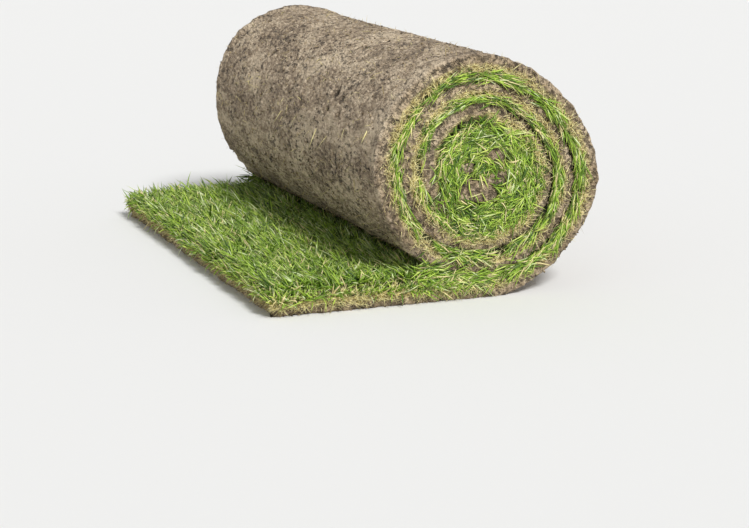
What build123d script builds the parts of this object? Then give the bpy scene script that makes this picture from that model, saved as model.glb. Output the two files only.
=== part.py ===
from build123d import *
import math
import os

# One strip of turf, cut with its soil and rolled up with the grass inside.
# The roll lies along Y. Its loose end lies flat on the ground towards -X, grass up.
# The origin is on the ground, under the middle of the whole piece.

# Strip of turf
strip_width = 457.0  # the length of the roll, 18 in
soil_thickness = 12.7  # soil and roots left on by the cutter's blade, half an inch
pressed_grass = 7.0  # grass squeezed between one turn and the next
standing_grass = 12.0  # close grass on the loose end, above the soil
loose_length = 188.0  # from the foot of the roll to the cut end
cut_edge_setback = 5.0  # the grass stands this far back from the cut edges of the soil
edge_bevel = 3.0  # crumbled off the long edges of the soil, on both cut sides

# Winding
half_turns = 9
heart_radius = 25.0  # to the soil face of the innermost half turn

# The strip winds on two centres, one above the other over the foot of the roll.
# Each half turn has the other centre, and a radius smaller by one step, than the one outside it.
turn_step = (soil_thickness + pressed_grass) / 2
roll_radius = heart_radius + (half_turns - 1) * turn_step
foot_x = (loose_length - roll_radius) / 2
side_view = Plane(origin=(foot_x, 0, 0), x_dir=(1, 0, 0), z_dir=(0, -1, 0))


def wind(inset, turns=half_turns):
    """Half-turn arcs from the foot of the roll inwards, this far inside the soil's outer face."""
    arcs = []
    for turn in range(turns):
        on_left = turn % 2
        centre = (0, roll_radius + on_left * turn_step)
        radius = roll_radius - turn * turn_step - inset
        arcs.append(CenterArc(centre, radius, start_angle=90 if on_left else -90, arc_size=180))
    return arcs


with BuildPart() as turf_strip:
    # Soil: one band of even thickness, from the cut end, along the ground and in to the heart
    with BuildSketch(side_view):
        with BuildLine():
            outer_face = wind(inset=0)
            inner_face = wind(inset=soil_thickness)
            Line(outer_face[-1] @ 1, inner_face[-1] @ 1)
            Polyline(
                outer_face[0] @ 0,
                (-loose_length, 0),
                (-loose_length, soil_thickness),
                inner_face[0] @ 0,
            )
        make_face()
    extrude(amount=strip_width / 2, both=True)
    sides = turf_strip.faces().sort_by(Axis.Y)
    chamfer(sides[0].edges() + sides[-1].edges(), length=edge_bevel)

    # Grass: pressed flat between the turns, and standing on the loose end and in the nip
    # under the roll. It stops short of the cut edges, so the turns show on both ends.
    with BuildSketch(side_view):
        with BuildLine():
            rim = wind(inset=0, turns=2)
            Line(rim[-1] @ 1, rim[0] @ 0)
        make_face()
        with Locations((0, soil_thickness)):
            Rectangle(loose_length - cut_edge_setback, standing_grass, align=(Align.MAX, Align.MIN))
    extrude(amount=strip_width / 2 - cut_edge_setback, both=True)

turf_strip.part.label = "turf_strip"

wound_length = sum(
    math.pi * (roll_radius - turn * turn_step - soil_thickness / 2) for turn in range(half_turns)
)
print(f"strip laid flat: {wound_length + loose_length:.0f} x {strip_width:.0f} mm")
print(f"roll: {2 * roll_radius - turn_step:.0f} mm wide, {2 * roll_radius:.0f} mm high")

os.makedirs("parts", exist_ok=True)
export_step(turf_strip.part, "parts/turf_strip.step")
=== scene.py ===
import math

import bmesh
import bpy
import numpy as np
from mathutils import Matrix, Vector, noise


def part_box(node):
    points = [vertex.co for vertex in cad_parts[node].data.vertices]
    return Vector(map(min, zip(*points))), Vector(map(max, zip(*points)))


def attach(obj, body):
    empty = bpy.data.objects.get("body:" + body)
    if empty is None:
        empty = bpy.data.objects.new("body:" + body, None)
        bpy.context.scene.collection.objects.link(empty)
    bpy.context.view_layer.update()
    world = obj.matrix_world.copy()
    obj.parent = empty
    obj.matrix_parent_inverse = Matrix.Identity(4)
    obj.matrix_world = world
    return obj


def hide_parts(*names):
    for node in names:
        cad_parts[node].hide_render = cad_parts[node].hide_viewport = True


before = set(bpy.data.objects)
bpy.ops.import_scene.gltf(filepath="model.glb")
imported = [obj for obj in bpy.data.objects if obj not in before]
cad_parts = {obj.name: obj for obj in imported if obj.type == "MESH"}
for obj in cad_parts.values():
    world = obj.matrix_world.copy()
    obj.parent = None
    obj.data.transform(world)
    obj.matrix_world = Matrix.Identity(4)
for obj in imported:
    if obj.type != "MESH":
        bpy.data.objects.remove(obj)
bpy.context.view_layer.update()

# Sizes in metres. The strip lies as its solid does: wound on two centres over the foot of the roll,
# with its loose end flat on the ground towards -X.
SOIL = 0.0127
PRESSED_GRASS = 0.007
HALF_TURNS = 9
TURN_STEP = (SOIL + PRESSED_GRASS) / 2
strip_low, strip_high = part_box("turf_strip")
HALF_WIDTH = strip_high.y
ROLL_RADIUS = strip_high.z / 2
FOOT_X = strip_high.x - ROLL_RADIUS
LOOSE_LENGTH = FOOT_X - strip_low.x

# Lengths of the half turns along the foot of their grass, the outermost first
TURN_LENGTHS = np.pi * (ROLL_RADIUS - np.arange(HALF_TURNS) * TURN_STEP - SOIL)

# The outermost half turn on the side of the loose end
LEFT_CENTRE_Z = ROLL_RADIUS + TURN_STEP
LEFT_RADIUS = ROLL_RADIUS - TURN_STEP

# From the foot of the roll to where it lies on the grass under it
NIP = 0.012

# The close foot of the sward: its height at the cut end, and how far it stands back from the cut edges
SWARD_FOOT = 0.005
SETBACK = 0.005

# How deep the blades on the loose end are rooted
ROOT_DEPTH = 0.001

# How deep in the strip bare patches and crumbs count as lying: the soil is plain there
PLAIN_DEPTH = 0.3 * SOIL

# What lies this near a cut side or the cut end is worn and torn
EDGE = 0.004

# The innermost turns hide under their grass, except for bare patches of soil and the hollows beside
# them: middle and half sizes, across and up from the heart
HEART = np.array([FOOT_X + 0.005, 0, ROLL_RADIUS + 0.001])
HEART_RADIUS = 0.046
BARE_PATCHES = [
    ((-0.010, -0.013), (0.019, 0.011)),
    ((0.010, -0.003), (0.010, 0.0045)),
    ((0.008, 0.018), (0.010, 0.007)),
    ((-0.020, 0.008), (0.008, 0.005)),
]
HOLLOWS = [
    ((-0.029, -0.018), (0.006, 0.006)),
    ((-0.020, -0.026), (0.009, 0.0035)),
    ((0.006, -0.029), (0.007, 0.003)),
]
PATCH_INSET = 0.001
HOLLOW_INSET = 0.009

# Holes in the soil side: place along the strip, place across it and radius
HOLES = [(0.369, -0.092, 0.0042), (0.384, -0.118, 0.0022), (0.383, -0.089, 0.0020)]
HOLE_DEPTH = 0.0045

# Long roots that hang off the soil side: place along the strip, place across it, length, lean across
# and width
HANGING_ROOTS = [
    (0.400, -0.075, 0.021, -0.2, 0.0010),
    (0.402, -0.104, 0.018, 0.7, 0.0010),
    (0.398, 0.022, 0.018, 0.4, 0.0009),
    (0.387, -0.191, 0.012, 0.0, 0.0018),
    (0.392, -0.140, 0.013, -0.5, 0.0007),
    (0.396, -0.020, 0.014, 0.3, 0.0007),
]

# Where the roll is out of round: degrees round it from +X upwards, place across it from -1 at the near
# end to 1 at the far end, how far it stands out there, and how far round about that reaches
DENTS = [
    (50, -1.0, -0.004, 0.075),
    (-10, -1.0, 0.005, 0.060),
    (95, -0.3, -0.003, 0.080),
    (130, 1.0, 0.0045, 0.070),
    (180, 1.0, -0.003, 0.070),
]

# The roll also has shallow waves, longer along it than round it. WAVE_PICK chooses among such waves.
WAVE_HEIGHT = 0.0024
WAVES_PER_METRE = 12
WAVES_ALONG = 0.4
WAVE_PICK = 2.77

# Dents and waves fade out below this height
FADE_HEIGHT = 0.05

# How far blades and crumbs may stand out of the solid's box
SPILL = 0.010

# Tones of blades, of which 0 is deep green; the pale bluish tone paints glints of light on blades
YELLOW_GREEN = 0.8
PALE_GLINT_TONE = 0.87
DEAD = 1.0

UP = np.array([0, 0, 1.0])

# The photograph's width and focal length in pixels, and its camera's place, turn and dip in degrees
PHOTO_WIDTH = 749
FOCAL_PIXELS = 1850
CAMERA_PLACE = (-0.610, -1.609, 0.377)
CAMERA_TURN = 21.86
CAMERA_DIP = 12.84

# Size of the faces in the fine skin over the solid
VOXEL = 0.00255

# Sockets of a Mix node for colours
MIX_SHARE = 0
MIX_FIRST = 6
MIX_SECOND = 7
MIX_RESULT = 2


def unit(vectors):
    """The same directions with length one."""
    return vectors / np.maximum(np.linalg.norm(vectors, axis=-1, keepdims=True), 1e-9)


def noise_at(points, scale, octaves=1):
    """Noise from about -1 to 1 at each point. Each octave is finer and fainter than the one before."""
    faintness = 0.9
    fineness = 2.0
    values = [noise.fractal(Vector(point) * scale, faintness, fineness, octaves) for point in points]
    return np.array(values)


def wound(turns):
    """The length of strip in this many half turns, counted from the outermost."""
    return TURN_LENGTHS[:turns].sum()


def along_strip(place, inset):
    """Points in side view, this far along the strip from the foot of the roll and this far inside the
    soil's outer face: their x and z, and the directions along the strip and towards its grass."""
    starts = np.concatenate([[0], np.cumsum(TURN_LENGTHS)])
    angle = np.interp(place, starts, np.arange(HALF_TURNS + 1) * np.pi)
    turn = np.minimum(np.floor(angle / np.pi), HALF_TURNS - 1)
    radius = ROLL_RADIUS - turn * TURN_STEP - inset
    around = angle - np.pi / 2
    on_ground = place < 0
    x = np.where(on_ground, FOOT_X + place, FOOT_X + radius * np.cos(around))
    z = np.where(on_ground, inset, ROLL_RADIUS + (turn % 2) * TURN_STEP + radius * np.sin(around))
    run = np.stack([-np.sin(around), np.zeros_like(around), np.cos(around)], -1)
    grassward = np.stack([-np.cos(around), np.zeros_like(around), -np.sin(around)], -1)
    run[on_ground] = (1, 0, 0)
    grassward[on_ground] = (0, 0, 1)
    return x, z, run, grassward


def depth_in_strip(x, z):
    """How far points in side view lie inside the soil's outer face, up to the next turn's."""
    right = np.hypot(x - FOOT_X, z - ROLL_RADIUS)
    left = np.hypot(x - FOOT_X, z - LEFT_CENTRE_Z)
    inside = np.where(x > FOOT_X, ROLL_RADIUS - right, LEFT_RADIUS - left)
    flat = (x < FOOT_X) & (inside < 0)
    return np.where(flat, z, np.maximum(inside, 0) % (2 * TURN_STEP))


def headroom(x):
    """The height between the loose end's soil and the roll above it, never quite nothing."""
    least = 0.004
    from_foot = np.clip(FOOT_X - x, 0, LEFT_RADIUS)
    return np.maximum(LEFT_CENTRE_Z - np.sqrt(LEFT_RADIUS**2 - from_foot**2) - SOIL, least)


def sward_foot(x):
    """The height above the loose end's soil of the close foot of the sward."""
    nip = FOOT_X - NIP
    return np.interp(x, [strip_low.x, nip], [SWARD_FOOT, headroom(nip)])


def rooted(x, y):
    """Places for blades on the loose end: on the soil along its cut edges, and elsewhere on the close
    foot of the sward."""
    at_edge = (np.abs(y) > HALF_WIDTH - SETBACK) | (x < strip_low.x + SETBACK)
    return np.stack([x, y, SOIL - ROOT_DEPTH + np.where(at_edge, 0, sward_foot(x))], 1)


def from_ovals(points, ovals):
    """How far points are, in side view, from the nearest oval's middle: 1 at its ragged edge."""
    across = points[:, 0] - HEART[0]
    up = points[:, 2] - HEART[2]
    gaps = [
        np.hypot((across - middle[0]) / half[0], (up - middle[1]) / half[1])
        for middle, half in ovals
    ]
    raggedness = 0.25 * noise_at(points * (1, 0, 1), 90)
    return np.min(gaps, axis=0) + raggedness


def in_holes(points):
    """1 in a hole in the soil side, falling to 0 at its ragged rim."""
    rim = 1.5
    slope = 0.5
    rows = np.array(HOLES)
    x, z = along_strip(rows[:, 0], np.zeros(len(rows)))[:2]
    middle = np.stack([x, rows[:, 1], z], 1)
    gaps = np.linalg.norm(points[:, None] - middle[None], axis=2) / rows[:, 2]
    raggedness = 0.4 * noise_at(points, 170)
    from_middle = gaps.min(axis=1) + raggedness
    return np.clip((rim - from_middle) / slope, 0, 1)


def strip_place(points, depth):
    """Places round the roll, across the strip and into it, for patterns that follow the strip."""
    around = np.arctan2(FOOT_X - points[:, 0], points[:, 2] - ROLL_RADIUS)
    return np.stack([around * ROLL_RADIUS, points[:, 1], depth], 1)


def settled(points):
    """The points moved as the roll has sagged and bulged: a few millimetres, and none at the ground."""
    drawn_out = points * (1, WAVES_ALONG, 1) + WAVE_PICK
    waves = WAVE_HEIGHT * noise_at(drawn_out, WAVES_PER_METRE)
    shift = np.outer(waves, (1, 0, 1))
    for degrees, across, out, reach in DENTS:
        outward = np.array([math.cos(math.radians(degrees)), 0, math.sin(math.radians(degrees))])
        middle = ROLL_RADIUS * outward + (FOOT_X, across * HALF_WIDTH, ROLL_RADIUS)
        nearness = np.exp(-((points - middle) ** 2).sum(axis=1) / reach**2)
        shift += out * np.outer(nearness, outward)
    lifted = np.clip(points[:, 2] / FADE_HEIGHT, 0, 1)
    return points + shift * lifted[:, None]


def eased(gaps):
    """Distances held back more and more, so that none reaches SPILL."""
    return SPILL * (1 - np.exp(-gaps / SPILL))


def held_near(points):
    """The points, with what would stand out of the solid's box bent back towards it."""
    over = np.maximum(points - np.array(strip_high), 0)
    under = np.maximum(np.array(strip_low) - points, 0)
    held = points - over + eased(over) + under - eased(under)
    held[..., 2] = np.maximum(held[..., 2], 0)
    return held


class Wire:
    """The output of a node. Sums and products with wires and numbers add Math nodes to it."""

    def __init__(self, nodes, socket):
        self.nodes = nodes
        self.socket = socket

    def math(self, operation, *values):
        """The output of a Math node that does this to the values."""
        return self.nodes.add("ShaderNodeMath", {"operation": operation}, dict(enumerate(values)))

    def __add__(self, other):
        return self.math("ADD", self, other)

    def __radd__(self, other):
        return self.math("ADD", other, self)

    def __sub__(self, other):
        return self.math("SUBTRACT", self, other)

    def __mul__(self, other):
        return self.math("MULTIPLY", self, other)

    def __rmul__(self, other):
        return self.math("MULTIPLY", other, self)


class Nodes:
    """The nodes of a material or a world, with one method that adds a node."""

    def __init__(self, owner):
        owner.use_nodes = True
        self.owner = owner
        self.tree = owner.node_tree
        self.tree.nodes.clear()

    def add(self, kind, settings=None, sockets=None, output=0):
        """Adds a node. Its settings are by name, its sockets by name or number."""
        made = self.tree.nodes.new(kind)
        for name, value in (settings or {}).items():
            if name == "stops":
                set_stops(made.color_ramp, value)
            else:
                setattr(made, name, value)
        for name, value in (sockets or {}).items():
            if isinstance(value, Wire):
                self.tree.links.new(value.socket, made.inputs[name])
            else:
                made.inputs[name].default_value = value
        return Wire(self, made.outputs[output]) if made.outputs else None

    def position(self):
        return self.add("ShaderNodeTexCoord", output="Object")

    def attribute(self, name, output="Fac"):
        return self.add("ShaderNodeAttribute", {"attribute_name": name}, output=output)

    def noise(self, where, scale, detail=2.0, roughness=0.5):
        sockets = {"Vector": where, "Scale": scale, "Detail": detail, "Roughness": roughness}
        return self.add("ShaderNodeTexNoise", {}, sockets)

    def stretched(self, where, scale):
        return self.add("ShaderNodeMapping", {}, {"Vector": where, "Scale": scale})

    def between(self, value, low, high):
        """0 where the value is at low or beyond it, 1 where it is at high or beyond it."""
        sockets = {"Value": value, "From Min": low, "From Max": high}
        return self.add("ShaderNodeMapRange", {"interpolation_type": "SMOOTHSTEP"}, sockets)

    def mixed(self, share, first, second):
        """The first colour, with this share of the second."""
        sockets = {MIX_SHARE: share, MIX_FIRST: first, MIX_SECOND: second}
        return self.add("ShaderNodeMix", {"data_type": "RGBA"}, sockets, MIX_RESULT)

    def ramp(self, value, stops):
        return self.add("ShaderNodeValToRGB", {"stops": stops}, {"Fac": value})

    def bump(self, height, distance):
        return self.add("ShaderNodeBump", {}, {"Height": height, "Distance": distance, "Strength": 1.0})

    def surface(self, **sockets):
        """The finished material, from the sockets of a Principled shader written with underscores."""
        named = {name.replace("_", " ").title(): value for name, value in sockets.items()}
        shader = self.add("ShaderNodeBsdfPrincipled", {}, named)
        self.add("ShaderNodeOutputMaterial", {}, {"Surface": shader})
        return self.owner


def set_stops(ramp, stops):
    """Gives a ramp these stops, each a position and a colour."""
    while len(ramp.elements) < len(stops):
        ramp.elements.new(1)
    for element, (position, colour) in zip(ramp.elements, stops):
        element.position = position
        element.color = (*colour, 1)


def soil_finish():
    """Dry crumbly earth with pale patches, and straw where the grass grows out of it. Painted shade
    darkens its pores, holes and hollows, the gaps between lumps on the cut ends, and the foot of the
    grass.
    """
    nodes = Nodes(bpy.data.materials.new("soil"))
    where = nodes.position()
    on_strip = nodes.attribute("strip_place", "Vector")
    depth = nodes.attribute("depth")
    wide = nodes.stretched(where, (1.0, 0.55, 1.0))
    grain = nodes.noise(wide, 330, 3, 0.8)
    cells = {"Vector": wide, "Scale": 460}
    crumbs = nodes.add("ShaderNodeTexVoronoi", {}, cells, "Color")
    domes = nodes.add("ShaderNodeTexVoronoi", {}, cells, "Distance")
    clods = nodes.noise(wide, 130, 3, 0.6)
    colour = earth(nodes, on_strip, grain, crumbs, clods)
    at_end = nodes.between(depth, 0.05, 0.25)
    colour = nodes.mixed(0.35 * at_end, colour, (0.500, 0.370, 0.205, 1))
    # On the cut ends, near black in the gaps between lumps: painted shade.
    lumps = nodes.noise(where, 190, 3, 0.65)
    gaps_with_painted_shade = at_end * nodes.between(lumps, 0.50, 0.38)
    colour = nodes.mixed(0.65 * gaps_with_painted_shade, colour, (0.085, 0.062, 0.038, 1))
    # Near black pores, clustered here and there: painted shade in the pits of the soil.
    pitted = nodes.between(nodes.noise(where, 30, 2), 0.34, 0.60)
    pits_with_painted_shade = pitted * nodes.between(nodes.noise(wide, 250, 3, 0.7), 0.455, 0.36)
    colour = nodes.mixed(0.80 * pits_with_painted_shade, colour, (0.028, 0.021, 0.014, 1))
    colour = thatched(nodes, colour, on_strip, depth, clods)
    # Near black in the holes of the soil side and the hollows by the heart: painted shade.
    hollow = nodes.between(nodes.attribute("hollow"), 0.0, 0.6)
    colour = nodes.mixed(0.9 * hollow, colour, (0.020, 0.015, 0.010, 1))
    height = 0.7 * grain + 0.7 * clods - 0.5 * domes - 0.8 * pits_with_painted_shade - 0.9 * gaps_with_painted_shade
    return nodes.surface(base_color=colour, roughness=0.95, normal=nodes.bump(height, 0.0034))


def earth(nodes, on_strip, grain, crumbs, clods):
    """The colour of the bare earth, with its pale patches."""
    patches = nodes.noise(nodes.stretched(on_strip, (1.0, 0.6, 1.0)), 20, 4, 0.65)
    colour = nodes.ramp(
        0.34 * grain + 0.14 * crumbs + 0.18 * clods + 0.34 * patches,
        [
            (0.40, (0.145, 0.106, 0.070)),
            (0.46, (0.300, 0.228, 0.153)),
            (0.51, (0.435, 0.337, 0.233)),
            (0.59, (0.680, 0.555, 0.398)),
        ],
    )
    pale = nodes.between(patches + 0.3 * clods, 0.64, 0.77)
    return nodes.mixed(0.40 * pale, colour, (0.740, 0.608, 0.430, 1))


def thatched(nodes, colour, on_strip, depth, clods):
    """The colour, with straw at the foot of the grass and deep green shade under the blades."""
    fibres = nodes.noise(nodes.stretched(on_strip, (1.0, 1.0, 0.3)), 330, 3, 0.7)
    dead_stems = nodes.ramp(
        fibres,
        [(0.36, (0.330, 0.245, 0.100)), (0.48, (0.740, 0.610, 0.270)), (0.60, (0.970, 0.880, 0.450))],
    )
    at_foot = nodes.between(depth + 0.6 * clods, 0.84, 1.10)
    colour = nodes.mixed(0.8 * at_foot, colour, dead_stems)
    shade = nodes.ramp(clods, [(0.40, (0.025, 0.034, 0.008)), (0.60, (0.110, 0.105, 0.040))])
    underneath = nodes.between(depth, 1.06, 1.18)
    return nodes.mixed(underneath, colour, shade)


def grass_finish():
    """Blades from deep to yellow green, some pale bluish as painted glints, some dead, pale where they
    leave the soil.
    """
    nodes = Nodes(bpy.data.materials.new("grass"))
    reach = nodes.attribute("reach")
    patches = nodes.noise(nodes.position(), 45, 2)
    colour = nodes.ramp(
        nodes.attribute("tone") + 0.16 * (patches - 0.5),
        [
            (0.00, (0.045, 0.110, 0.008)),
            (0.25, (0.195, 0.345, 0.026)),
            (0.50, (0.390, 0.590, 0.060)),
            (0.74, (0.640, 0.770, 0.150)),
            # Pale bluish: painted glints of light on blades
            (0.86, (0.700, 0.820, 0.430)),
            (0.95, (0.860, 0.740, 0.370)),
        ],
    )
    sheath = nodes.between(reach, 0.30, 0.0)
    colour = nodes.mixed(0.5 * sheath, colour, (0.50, 0.46, 0.18, 1))
    tip = nodes.between(reach, 0.70, 1.0)
    colour = nodes.mixed(0.35 * tip, colour, (0.68, 0.74, 0.30, 1))
    return nodes.surface(base_color=colour, roughness=0.45)


def straw_finish():
    """Dead stems and roots, from brown to pale straw."""
    nodes = Nodes(bpy.data.materials.new("straw"))
    colour = nodes.ramp(
        nodes.attribute("tone"),
        [(0.0, (0.36, 0.245, 0.110)), (0.40, (0.78, 0.640, 0.280)), (1.0, (0.98, 0.900, 0.450))],
    )
    return nodes.surface(base_color=colour, roughness=0.75)


def new_piece(name, mesh, material):
    """Puts a mesh in the scene as a piece of the strip."""
    piece = bpy.data.objects.new(name, mesh)
    bpy.context.scene.collection.objects.link(piece)
    mesh.materials.clear()
    mesh.materials.append(material)
    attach(piece, "root")
    return piece


def give_attribute(mesh, name, values):
    """Stores a number, or a vector, for each point of a mesh."""
    kind, field = ("FLOAT_VECTOR", "vector") if values.ndim == 2 else ("FLOAT", "value")
    mesh.attributes.new(name, kind, "POINT").data.foreach_set(field, values.astype(np.float32).ravel())


def pattern_from(bm):
    """The points and triangles of a small closed shape, to be repeated."""
    bmesh.ops.remove_doubles(bm, verts=bm.verts, dist=1e-5)
    bmesh.ops.recalc_face_normals(bm, faces=bm.faces)
    bmesh.ops.triangulate(bm, faces=bm.faces)
    points = np.array([vert.co for vert in bm.verts])
    triangles = np.array([[vert.index for vert in face.verts] for face in bm.faces])
    bm.free()
    return points, triangles


def blade_pattern(rings):
    """A blade of unit length along Z and unit width, folded along its back and coming to a point."""
    bm = bmesh.new()
    bmesh.ops.create_cone(bm, cap_ends=True, segments=3, radius1=1, radius2=0, depth=1)
    bmesh.ops.translate(bm, verts=bm.verts, vec=(0, 0, 0.5))
    for height in rings:
        everything = bm.verts[:] + bm.edges[:] + bm.faces[:]
        bmesh.ops.bisect_plane(bm, geom=everything, plane_co=(0, 0, height), plane_no=(0, 0, 1))
    width_of_cone = math.sqrt(3)
    fold = 0.25
    for vert in bm.verts:
        reach = vert.co.z
        fullness = (0.65 + 0.7 * reach) * (1 + reach)
        vert.co.x *= fullness / width_of_cone
        vert.co.y *= fullness * fold
    return pattern_from(bm)


def crumb_pattern():
    """A lump of unit width."""
    bm = bmesh.new()
    bmesh.ops.create_icosphere(bm, subdivisions=1, radius=0.5)
    return pattern_from(bm)


def joined(name, points, triangles, material, attributes):
    """One piece from many copies of a pattern. Points are given copy by copy."""
    copies, size, _ = points.shape
    faces = (triangles[None] + (np.arange(copies) * size)[:, None, None]).reshape(-1, 3)
    mesh = bpy.data.meshes.new(name)
    mesh.from_pydata(held_near(points).reshape(-1, 3), [], faces)
    mesh.shade_smooth()
    for attribute, values in attributes.items():
        give_attribute(mesh, attribute, values)
    print(f"{name}: {copies} copies, {len(faces)} triangles")
    return new_piece(name, mesh, material)


def grow(name, rng, root, aim, bow, length, width, tone, material, rings=(0.4, 0.75), slot="grass"):
    """Blades from their roots along aim, bending towards bow, as one piece."""
    shape, triangles = blade_pattern(rings)
    root = settled(root)
    reach = shape[:, 2][None, :, None]
    spine = root[:, None] + length[:, None, None] * (aim[:, None] * reach + bow[:, None] * reach**2)
    ahead = unit(aim[:, None] + 2 * bow[:, None] * reach)
    side = unit(np.cross(aim, bow + 1e-4))
    front = np.cross(side, unit(aim))
    twist = rng.normal(0, 0.8, len(root))[:, None]
    side = side * np.cos(twist) + front * np.sin(twist)
    side = np.broadcast_to(side[:, None], ahead.shape)
    back = np.cross(ahead, side)
    across = width[:, None, None] * shape[:, 0][None, :, None]
    fold = width[:, None, None] * shape[:, 1][None, :, None]
    points = spine + side * across + back * fold
    tones = np.repeat(tone, len(shape))
    reaches = np.tile(shape[:, 2], len(root))
    return joined(name, points, triangles, material, {"tone": tones, "reach": reaches})


def strew(name, rng, place, size, material):
    """Crumbs of these sizes, each turned and stretched its own way, as one piece."""
    shape, triangles = crumb_pattern()
    first = unit(rng.normal(size=(len(place), 3)))
    second = unit(np.cross(first, rng.normal(size=(len(place), 3))))
    axes = np.stack([first, second, np.cross(first, second)], 1)
    stretch = size[:, None] * rng.uniform(0.6, 1.3, (len(place), 3))
    points = settled(place)[:, None] + np.einsum("vk,nk,nkj->nvj", shape, stretch, axes)
    depth = np.full(len(place), PLAIN_DEPTH)
    places = np.repeat(strip_place(place, depth), len(shape), axis=0)
    depths = np.repeat(depth / SOIL, len(shape))
    attributes = {"depth": depths, "strip_place": places, "hollow": 0 * depths}
    return joined(name, points, triangles, material, attributes)


def points_of(mesh):
    """The places of a mesh's points, a row for each."""
    points = np.empty(len(mesh.vertices) * 3, np.float32)
    mesh.vertices.foreach_get("co", points)
    return points.reshape(-1, 3).astype(float)


def normals_of(mesh):
    """The directions in which a mesh's surface faces at its points, a row for each."""
    normals = np.empty(len(mesh.vertices) * 3, np.float32)
    mesh.vertex_normals.foreach_get("vector", normals)
    return normals.reshape(-1, 3)


def move_points(mesh, points):
    """Puts a mesh's points in new places."""
    mesh.vertices.foreach_set("co", points.astype(np.float32).ravel())
    mesh.update()


def soil_mat(material):
    """The strip's own shape with a fine skin, crumbled, pitted and worn back at its cut edges."""
    piece = new_piece("soil_mat", lowered_solid("soil_mat"), material)
    mesh = fine_skin(piece)
    points = points_of(mesh)
    depth = depth_in_strip(points[:, 0], points[:, 2])
    from_end = 0.012
    on_end = np.abs(points[:, 1]) > HALF_WIDTH - from_end
    bare = on_end & (from_ovals(points, BARE_PATCHES) < 1)
    sunk = on_end & ~bare & (from_ovals(points, HOLLOWS) < 1)
    depth[bare] = PLAIN_DEPTH
    # Where holes and hollows sink; the soil finish also paints them near black as shade.
    hollow = np.maximum(in_holes(points), sunk)
    points = settled(crumbled(mesh, points, depth, bare, sunk, hollow))
    move_points(mesh, points)
    mesh.shade_smooth()
    give_attribute(mesh, "hollow", hollow)
    give_attribute(mesh, "depth", depth / SOIL)
    give_attribute(mesh, "strip_place", strip_place(points, depth))
    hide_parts("turf_strip")
    print(f"soil_mat: {2 * len(mesh.polygons)} triangles")
    return piece


def lowered_solid(name):
    """The solid's mesh, with the block of grass on its loose end lowered to the foot of the sward."""
    bm = bmesh.new()
    bm.from_mesh(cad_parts["turf_strip"].data)
    bmesh.ops.remove_doubles(bm, verts=bm.verts, dist=1e-5)
    lower_sward(bm)
    mesh = bpy.data.meshes.new(name)
    bm.to_mesh(mesh)
    bm.free()
    return mesh


def lower_sward(bm):
    """Lowers the block of grass on the loose end, up to the nip: the blades take its place."""
    clear_of_roll = FOOT_X - LEFT_RADIUS - 0.01
    top = max(vert.co.z for vert in bm.verts if vert.co.x < clear_of_roll)
    for vert in bm.verts:
        on_soil = abs(vert.co.y) > HALF_WIDTH - 0.001
        if abs(vert.co.z - top) > 1e-5 or vert.co.x > FOOT_X or on_soil:
            continue
        if vert.co.x > FOOT_X - LEFT_RADIUS:
            vert.co.x = FOOT_X - NIP
        vert.co.z = SOIL + sward_foot(vert.co.x)


def fine_skin(piece):
    """Gives a piece a mesh of small even faces in place of its own."""
    skin = piece.modifiers.new("fine skin", "REMESH")
    skin.mode = "VOXEL"
    skin.voxel_size = VOXEL
    graph = bpy.context.evaluated_depsgraph_get()
    mesh = bpy.data.meshes.new_from_object(piece.evaluated_get(graph))
    piece.modifiers.clear()
    piece.data = mesh
    return mesh


def crumbled(mesh, points, depth, bare, sunk, hollow):
    """The skin's points moved, so that the soil is lumpy, its cut edges are frayed, worn and torn, and
    the holes, bare patches and hollows show."""
    side = np.sign(points[:, 1])
    from_side = HALF_WIDTH - np.abs(points[:, 1])
    at_side = from_side < EDGE
    moved = points + normals_of(mesh) * relief(points, hollow * ~sunk)[:, None]
    moved += frayed(points, depth, from_side)
    moved[:, 1] -= side * worn(points) * at_side
    tear_edges(moved, points, side, at_side)
    roughness = 0.0015 * noise_at(points[bare], 160)
    moved[bare, 1] = side[bare] * (HALF_WIDTH - PATCH_INSET) - side[bare] * roughness
    moved[sunk, 1] = side[sunk] * (HALF_WIDTH - HOLLOW_INSET)
    moved[:, 2] = np.maximum(moved[:, 2], 0)
    return moved


def relief(points, in_hole):
    """How far the soil's face stands out in waves and clods, and how far it sinks in a hole."""
    wave_height = 0.0007
    clod_height = 0.0011
    waves = wave_height * noise_at(points, 20)
    clods = clod_height * noise_at(points, 120, 3)
    return waves + clods - HOLE_DEPTH * in_hole


def frayed(points, depth, from_side):
    """How the outermost turns swell at their cut sides, and the cut sides fray."""
    lip_height = 0.0020
    lip_width = 0.012
    frayed_width = 0.014
    outward = np.stack([points[:, 0] - FOOT_X, 0 * depth, points[:, 2] - ROLL_RADIUS], 1)
    on_rim = np.hypot(outward[:, 0], outward[:, 2]) > ROLL_RADIUS - 1.5 * TURN_STEP
    fraying = np.where(on_rim, 0.0008, 0.0026)
    lip = np.exp(-((from_side / lip_width) ** 2)) * (depth < SOIL) * on_rim
    ragged = fraying * noise_at(points, 70, 2) * (from_side < frayed_width)
    return unit(outward) * (lip_height * lip + ragged)[:, None]


def worn(points):
    """How far the cut sides are worn back, and stand out or back from place to place."""
    most_wear = 0.0028
    unevenness = 0.0022
    wear = np.clip(0.5 + noise_at(points, 130), 0, 1) * most_wear
    return wear + unevenness * noise_at(points, 16)


def tear_edges(moved, points, side, at_side):
    """Tears the cut end and the cut sides of the loose end back unevenly."""
    most_at_end = 0.0045
    most_at_sides = 0.0040
    low = points[:, 2] < SOIL + 0.001
    at_cut_end = low & (points[:, 0] < strip_low.x + EDGE)
    at_loose_side = low & (points[:, 0] < FOOT_X - 0.02) & at_side
    torn = np.clip(0.5 + 0.5 * noise_at(points, 45, 3), 0, 1)
    moved[:, 0] += most_at_end * torn * at_cut_end
    moved[:, 1] -= side * most_at_sides * torn * at_loose_side


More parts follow.
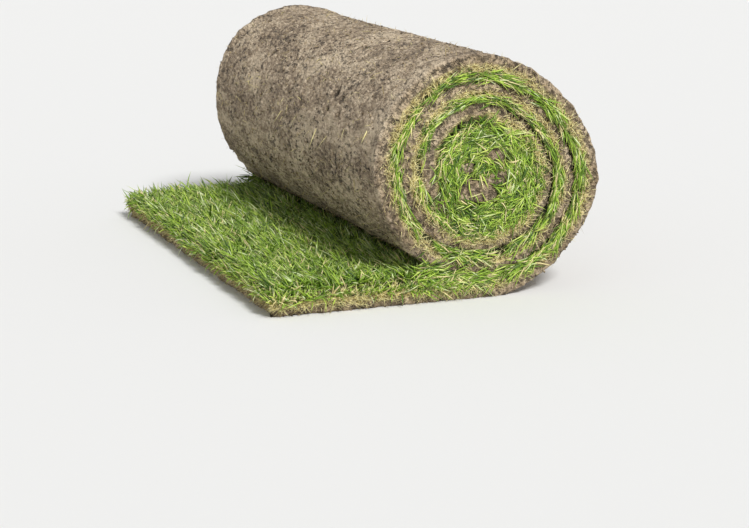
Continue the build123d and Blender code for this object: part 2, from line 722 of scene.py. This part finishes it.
def blade_tones(rng, count, light, dark, glinting, dead):
    """Tones for blades, from the weights of light and dark green, the share of pale bluish painted
    glints and the share of dead blades.
    """
    tone = YELLOW_GREEN * rng.beta(light, dark, count)
    chance = rng.random(count)
    tone[chance < glinting] = PALE_GLINT_TONE
    tone[chance > 1 - dead] = DEAD
    return tone


def by_tuft(rng, tuft, tufts, middle, between, within):
    """A number for each blade, spread this much between the tufts and this much within each."""
    return rng.normal(middle, between, tufts)[tuft] + rng.normal(0, within, len(tuft))


def leaning(heading, tilt):
    """Level directions with these headings, and directions that lean that way from upright."""
    level = np.stack([np.cos(heading), np.sin(heading), 0 * heading], 1)
    return level, level * np.sin(tilt)[:, None] + UP * np.cos(tilt)[:, None]


def mostly_downhill(rng, run, tuft, tufts):
    """The way along each blade's turn that its tuft leans, 1 or -1. Most tufts lean downhill."""
    share = 0.7
    downhill = np.where(run[:, 2] > 0, -1, 1)
    return np.where(rng.random(tufts)[tuft] < share, downhill, -downhill)


def bent_back(rng, aim, spread, droop):
    """How blades on an end bend: any way, somewhat downwards, and back towards the end."""
    count = len(aim)
    bow = rng.normal(0, spread, (count, 3)) - UP * rng.uniform(0, droop, count)[:, None]
    bow[:, 1] = -0.6 * aim[:, 1]
    return bow


def loose_end_grass(material):
    """The sward on the loose end, in tufts that lean every way, most of them towards the cut end."""
    rng = np.random.default_rng(11)
    count = 10200
    tufts = 3000
    near_roll = 300
    spread = 0.0025
    margin = 0.001
    tuft = rng.integers(0, tufts, count)
    tuft_x = rng.uniform(strip_low.x + 0.003, FOOT_X - 0.030, tufts)
    tuft_x[:near_roll] = rng.uniform(FOOT_X - 0.070, FOOT_X - 0.030, near_roll)
    tuft_y = rng.uniform(-HALF_WIDTH + 0.002, HALF_WIDTH - 0.002, tufts)
    x = np.maximum(tuft_x[tuft] + rng.normal(0, spread, count), strip_low.x + margin)
    y = np.clip(tuft_y[tuft] + rng.normal(0, spread, count), -HALF_WIDTH + margin, HALF_WIDTH - margin)
    root = rooted(x, y)
    heading = by_tuft(rng, tuft, tufts, middle=np.pi, between=0.9, within=0.45)
    tilt = by_tuft(rng, tuft, tufts, middle=46, between=14, within=10)
    level, aim = leaning(heading, np.radians(np.clip(tilt, 5, 84)))
    bow = level * rng.uniform(0.10, 0.45, count)[:, None] - UP * rng.uniform(0.0, 0.35, count)[:, None]
    length = rng.uniform(0.013, 0.024, count)
    length[rng.random(count) < 0.03] *= 1.4
    length = np.minimum(length, 1.6 * (headroom(x) - sward_foot(x)))
    width = rng.uniform(0.0016, 0.0030, count)
    tone = blade_tones(rng, count, light=1.0, dark=1.35, glinting=0.11, dead=0.015)
    return grow("loose_end_grass", rng, root, aim, bow, length, width, tone, material)


def loose_end_undergrowth(material):
    """Short blades that close the sward down to the soil, also in the nip under the roll."""
    rng = np.random.default_rng(12)
    count = 7500
    x = rng.uniform(strip_low.x + 0.001, FOOT_X - 0.024, count)
    root = rooted(x, rng.uniform(-HALF_WIDTH, HALF_WIDTH, count))
    heading = rng.uniform(0, 2 * np.pi, count)
    tilt = rng.uniform(0.1, 1.1, count)
    level, aim = leaning(heading, tilt)
    bow = level * rng.uniform(0.1, 0.4, count)[:, None]
    length = np.minimum(rng.uniform(0.008, 0.017, count), headroom(x) - sward_foot(x))
    width = rng.uniform(0.0018, 0.0030, count)
    # Tones weighted darker than the sward's: painted shade under the sward.
    tone = blade_tones(rng, count, light=1.4, dark=2.6, glinting=0.03, dead=0.12)
    return grow(
        "loose_end_undergrowth", rng, root, aim, bow, length, width, tone, material, rings=(0.5,)
    )


def loose_end_fringe(material):
    """Blades along the loose end's cut edges, that hang over the thatch."""
    rng = np.random.default_rng(13)
    count = 2000
    from_edge = rng.uniform(0.0005, SETBACK + 0.001, count)
    along = rng.uniform(0, 1, count)
    x = strip_low.x + 0.001 + along * (LOOSE_LENGTH - 0.030)
    side = rng.choice([-1.0, 1.0], count)
    y = side * (HALF_WIDTH - from_edge)
    outward = np.stack([0 * x, side, 0 * x], 1)
    cut_end = rng.random(count) < 0.45
    x[cut_end] = strip_low.x + from_edge[cut_end]
    y[cut_end] = rng.uniform(-HALF_WIDTH, HALF_WIDTH, cut_end.sum())
    outward[cut_end] = (-1, 0, 0)
    root = rooted(x, y)
    aim = unit(outward * rng.uniform(-0.3, 1.0, count)[:, None] + UP + rng.normal(0, 0.45, (count, 3)))
    bow = outward * rng.uniform(0.0, 0.5, count)[:, None] - UP * rng.uniform(0.1, 0.7, count)[:, None]
    length = rng.uniform(0.008, 0.020, count)
    width = rng.uniform(0.0016, 0.0030, count)
    tone = blade_tones(rng, count, light=1.2, dark=1.2, glinting=0.06, dead=0.15)
    return grow("loose_end_fringe", rng, root, aim, bow, length, width, tone, material)


def thick_and_thin(rng, seed, tufts, count, start):
    """The tufts of this many blades and the blades' places along the strip from this start on, many in
    some stretches and few in others."""
    tuft_place = rng.uniform(start, wound(4), tufts)
    lush = noise_at(np.stack([tuft_place, 0 * tuft_place + seed, 0 * tuft_place], 1), 24, 2)
    chosen = np.flatnonzero((rng.random(tufts) < 0.52 + 1.8 * lush) | (tuft_place < 0.02))
    tuft = rng.choice(chosen, count)
    return tuft, np.clip(tuft_place[tuft] + rng.normal(0, 0.002, count), start, None)


def grass_between_turns(name, side, seed, material):
    """Grass between the turns and in the nip on one end, in tufts bent along the turns."""
    rng = np.random.default_rng(seed)
    count = 5200
    tufts = 1500
    tuft, place = thick_and_thin(rng, seed, tufts, count, start=-0.060)
    x, z, run, grassward = along_strip(place, np.full(count, SOIL))
    gap = np.where(place < 0, headroom(x), PRESSED_GRASS)
    share = np.clip(rng.uniform(0.1, 0.9, tufts)[tuft] + rng.normal(0, 0.12, count), 0.02, 0.98)
    lift = share * gap
    y = side * (HALF_WIDTH - rng.uniform(0.000, 0.004, count))
    root = np.stack([x, y, z], 1) + grassward * lift[:, None]
    way = mostly_downhill(rng, run, tuft, tufts)
    low_down = np.clip(1 - (z - SOIL) / 0.05, 0, 1)
    lean = by_tuft(rng, tuft, tufts, middle=0, between=0.15, within=0.08)
    lean += rng.normal(0, 0.45, count) * low_down
    aim = unit(run * way[:, None] + grassward * lean[:, None])
    stands_out = by_tuft(rng, tuft, tufts, middle=0.42, between=0.15, within=0.12)
    aim[:, 1] = side * np.clip(stands_out, 0.05, 0.9)
    aim = unit(aim)
    bow = bent_back(rng, aim, spread=0.14, droop=0.2)
    length = rng.uniform(0.008, 0.018, count) * (1 + 0.3 * low_down)
    width = rng.uniform(0.0012, 0.0022, count)
    tuft_tone = rng.normal(0, 0.12, tufts)[tuft]
    own_tone = blade_tones(rng, count, light=0.9, dark=1.2, glinting=0.07, dead=0.10)
    tone = np.clip(tuft_tone + own_tone, 0, 1)
    return grow(name, rng, root, aim, bow, length, width, tone, material)


def heart_grass(name, side, seed, material):
    """Grass over the innermost turns on one end, swirling round the bare patches at the heart."""
    rng = np.random.default_rng(seed)
    count = 7400
    tufts = 1700
    tuft = rng.integers(0, tufts, count)
    tuft_radius = HEART_RADIUS * np.sqrt(rng.uniform(0.01, 1, tufts))
    tuft_around = rng.uniform(0, 2 * np.pi, tufts)
    radius = tuft_radius[tuft]
    around = tuft_around[tuft]
    outward = np.stack([np.cos(around), 0 * around, np.sin(around)], 1)
    run = np.stack([-np.sin(around), 0 * around, np.cos(around)], 1)
    root = HEART + outward * radius[:, None] + rng.normal(0, 0.0016, (count, 3))
    root[:, 1] = side * (HALF_WIDTH - rng.uniform(0.000, 0.005, count))
    way = mostly_downhill(rng, run, tuft, tufts)
    lean = by_tuft(rng, tuft, tufts, middle=-0.2, between=0.7, within=0.25)
    aim = unit(run * way[:, None] + outward * lean[:, None])
    towards_lower = np.clip(-(root[:, 2] - HEART[2]) / 0.03, 0, 1)
    stands_out = by_tuft(rng, tuft, tufts, middle=0.35, between=0.2, within=0.15)
    stands_out += 0.5 * towards_lower
    aim[:, 1] = side * np.clip(stands_out, 0.05, 1.5)
    aim = unit(aim)
    bow = bent_back(rng, aim, spread=0.22, droop=0.25)
    length = rng.uniform(0.008, 0.019, count)
    kept = clear_of_patches(rng, root, aim, bow, length)
    width = rng.uniform(0.0012, 0.0023, count)
    tuft_tone = rng.normal(0, 0.14, tufts)[tuft]
    own_tone = blade_tones(rng, count, light=0.9, dark=1.2, glinting=0.09, dead=0.04)
    tone = np.clip(tuft_tone + own_tone, 0, 1)
    blades = [values[kept] for values in (root, aim, bow, length, width, tone)]
    return grow(name, rng, *blades, material)


def clear_of_patches(rng, root, aim, bow, length):
    """Whether each blade is kept: nearly none over the bare patches, and some over the hollows."""
    count = len(root)
    over_patch = np.zeros(count, bool)
    over_hollow = np.zeros(count, bool)
    edge = rng.uniform(0.75, 1.10, count)
    for reach in (0.0, 0.5, 1.0):
        # Where the blade's foot, middle and tip are
        there = root + (aim * reach + bow * reach**2) * length[:, None]
        over_patch |= from_ovals(there, BARE_PATCHES) < edge
        over_hollow |= from_ovals(there, HOLLOWS) < edge
    chance = rng.random(count)
    kept_over_patches = 0.02
    kept_over_hollows = 0.3
    return (~over_patch | (chance < kept_over_patches)) & (~over_hollow | (chance < kept_over_hollows))


def thatch_spots(rng):
    """Places along the strip, many in some stretches and few in others, with more round the heart."""
    spots = rng.uniform(0, wound(5), 3000)
    lush = noise_at(np.outer(spots, (1, 0, 0)), 30, 2)
    spots = spots[rng.random(len(spots)) < 0.55 + 1.2 * lush]
    round_heart = rng.uniform(wound(3), wound(5), 500)
    under_heart = rng.normal(wound(4), 0.025, 300)
    return np.concatenate([spots, round_heart, under_heart])


def thatch(material):
    """Dead stems at the foot of the grass, along both cut sides."""
    rng = np.random.default_rng(31)
    spots = thatch_spots(rng)
    count = 17000
    side = rng.choice([-1.0, 1.0], count)
    place = rng.choice(spots, count) + rng.normal(0, 0.002, count)
    on_loose_end = rng.random(count) < 0.3
    place[on_loose_end] = rng.uniform(-LOOSE_LENGTH, 0, on_loose_end.sum())
    x, z, run, grassward = along_strip(place, SOIL * (1 - 0.75 * rng.beta(1, 2.5, count)))
    root = np.stack([x, side * (HALF_WIDTH - rng.uniform(0.001, 0.004, count)), z], 1)
    aim = run * rng.normal(0, 0.8, count)[:, None] + grassward * rng.normal(0.3, 0.6, count)[:, None]
    aim[:, 1] += side * rng.uniform(0.1, 0.7, count)
    aim = unit(aim)
    bow = rng.normal(0, 0.3, (count, 3))
    length = rng.uniform(0.004, 0.012, count)
    width = rng.uniform(0.0010, 0.0020, count)
    tone = rng.beta(2.2, 0.6, count)
    return grow("thatch", rng, root, aim, bow, length, width, tone, material, rings=())


def cut_end_thatch(material):
    """Dead stems and roots that stick out of the cut end."""
    rng = np.random.default_rng(34)
    count = 2600
    root = np.zeros((count, 3))
    root[:, 0] = strip_low.x + 0.002
    root[:, 1] = rng.uniform(-HALF_WIDTH, HALF_WIDTH, count)
    root[:, 2] = SOIL * (1 - 0.7 * rng.beta(1, 2, count))
    aim = unit(np.array([-0.8, 0, 0.1]) + rng.normal(0, 0.6, (count, 3)))
    bow = rng.normal(0, 0.3, (count, 3))
    length = rng.uniform(0.004, 0.010, count)
    width = rng.uniform(0.0006, 0.0013, count)
    tone = rng.uniform(0, 1, count)
    return grow("cut_end_thatch", rng, root, aim, bow, length, width, tone, material, rings=())


def soil_roots(material):
    """Fine roots that stand out of the soil side, and a few long ones that hang off it."""
    rng = np.random.default_rng(32)
    count = 1800
    place = rng.uniform(0, wound(2), count)
    x, z, _, grassward = along_strip(place, np.zeros(count))
    root = np.stack([x, rng.uniform(-HALF_WIDTH, HALF_WIDTH, count), z], 1)
    aim = unit(-grassward * rng.uniform(0.0, 0.5, count)[:, None] + rng.normal(0, 0.7, (count, 3)))
    bow = rng.normal(0, 0.4, (count, 3)) - 0.3 * UP
    length = rng.uniform(0.003, 0.008, count)
    width = rng.uniform(0.0003, 0.0007, count)
    long = rng.random(count) < 0.02
    length[long] = rng.uniform(0.009, 0.016, long.sum())
    width[long] = rng.uniform(0.0005, 0.0008, long.sum())
    tone = rng.uniform(0.1, 0.9, count)
    hang_first(root, aim, bow, length, width, tone)
    return grow(
        "soil_roots", rng, root, aim, bow, length, width, tone, material, rings=(0.5,), slot="soil"
    )


def hang_first(root, aim, bow, length, width, tone):
    """Turns the first roots into the long ones that hang off the soil side."""
    hung = np.array(HANGING_ROOTS)
    first = slice(0, len(hung))
    x, z, _, grassward = along_strip(hung[:, 0], np.zeros(len(hung)))
    root[first] = np.stack([x, hung[:, 1], z], 1)
    aim[first] = unit(-0.5 * grassward - UP + np.outer(hung[:, 3], (0, 1, 0)))
    bow[first] = (0, 0, -0.1)
    length[first] = hung[:, 2]
    width[first] = hung[:, 4]
    tone[first] = 0.9


def soil_crumbs(material):
    """Loose crumbs that cling to the soil side and to the cut ends."""
    rng = np.random.default_rng(33)
    count = 4600
    place = rng.uniform(0, wound(2), count)
    x, z = along_strip(place, np.zeros(count))[:2]
    points = np.stack([x, rng.uniform(-HALF_WIDTH, HALF_WIDTH, count), z], 1)
    on_end = rng.random(count) < 0.45
    inset = SOIL * rng.uniform(0, 1, on_end.sum())
    end_place = rng.uniform(-LOOSE_LENGTH, wound(5), on_end.sum())
    points[on_end, 0], points[on_end, 2] = along_strip(end_place, inset)[:2]
    points[on_end, 1] = rng.choice([-1.0, 1.0], on_end.sum()) * (HALF_WIDTH - 0.0015)
    smallest = 0.0012
    largest = 0.0036
    size = smallest + (largest - smallest) * rng.beta(1.2, 4, count)
    return strew("soil_crumbs", rng, points, size, material)


def camera():
    """The camera of the photograph, fitted to the outline of the roll."""
    lens = bpy.data.cameras.new("camera")
    lens.sensor_width = 36
    lens.lens = FOCAL_PIXELS / PHOTO_WIDTH * lens.sensor_width
    seen_from = bpy.data.objects.new("camera", lens)
    seen_from.location = CAMERA_PLACE
    seen_from.rotation_euler = (math.radians(90 - CAMERA_DIP), 0, -math.radians(CAMERA_TURN))
    bpy.context.scene.collection.objects.link(seen_from)
    bpy.context.scene.camera = seen_from


def soft_lamp(name, direction, level, softness):
    """A lamp far off, this many degrees across. At a level of 1 it lights what faces it fully."""
    light = bpy.data.lights.new(name, "SUN")
    light.angle = math.radians(softness)
    light.energy = level * math.pi
    lamp = bpy.data.objects.new(name, light)
    lamp.rotation_mode = "QUATERNION"
    lamp.rotation_quaternion = Vector(direction).to_track_quat("Z", "Y")
    bpy.context.scene.collection.objects.link(lamp)


def floor():
    """A wide pale floor."""
    bm = bmesh.new()
    bmesh.ops.create_grid(bm, x_segments=1, y_segments=1, size=15)
    mesh = bpy.data.meshes.new("floor")
    bm.to_mesh(mesh)
    bm.free()
    ground = bpy.data.objects.new("floor", mesh)
    bpy.context.scene.collection.objects.link(ground)
    nodes = Nodes(bpy.data.materials.new("floor"))
    mesh.materials.append(nodes.surface(base_color=(0.82, 0.82, 0.81, 1), roughness=0.9))


def surround(level):
    """Light of this level from all sides, seen as white by the camera and in reflections."""
    world = bpy.data.worlds.new("surround")
    bpy.context.scene.world = world
    nodes = Nodes(world)
    kinds_of_ray = ("Is Camera Ray", "Is Glossy Ray", "Is Transmission Ray")
    seen = sum(nodes.add("ShaderNodeLightPath", output=kind) for kind in kinds_of_ray)
    dim = nodes.add("ShaderNodeBackground", {}, {"Color": (1, 1, 1, 1), "Strength": level})
    white = nodes.add("ShaderNodeBackground", {}, {"Color": (1, 1, 1, 1), "Strength": 1.0})
    mix = nodes.add("ShaderNodeMixShader", {}, {"Fac": seen, 1: dim, 2: white})
    nodes.add("ShaderNodeOutputWorld", {}, {"Surface": mix})


camera()
floor()
surround(level=0.37)
soft_lamp("key lamp", direction=(0.10, -0.72, 0.80), level=0.92, softness=16)
bpy.context.scene.view_settings.view_transform = "Standard"

soil = soil_finish()
grass = grass_finish()
straw = straw_finish()
soil_mat(soil)
loose_end_grass(grass)
loose_end_undergrowth(grass)
loose_end_fringe(grass)
grass_between_turns("near_turns_grass", -1, 21, grass)
grass_between_turns("far_turns_grass", 1, 22, grass)
heart_grass("near_heart_grass", -1, 23, grass)
heart_grass("far_heart_grass", 1, 24, grass)
thatch(straw)
cut_end_thatch(straw)
soil_roots(straw)
soil_crumbs(soil)
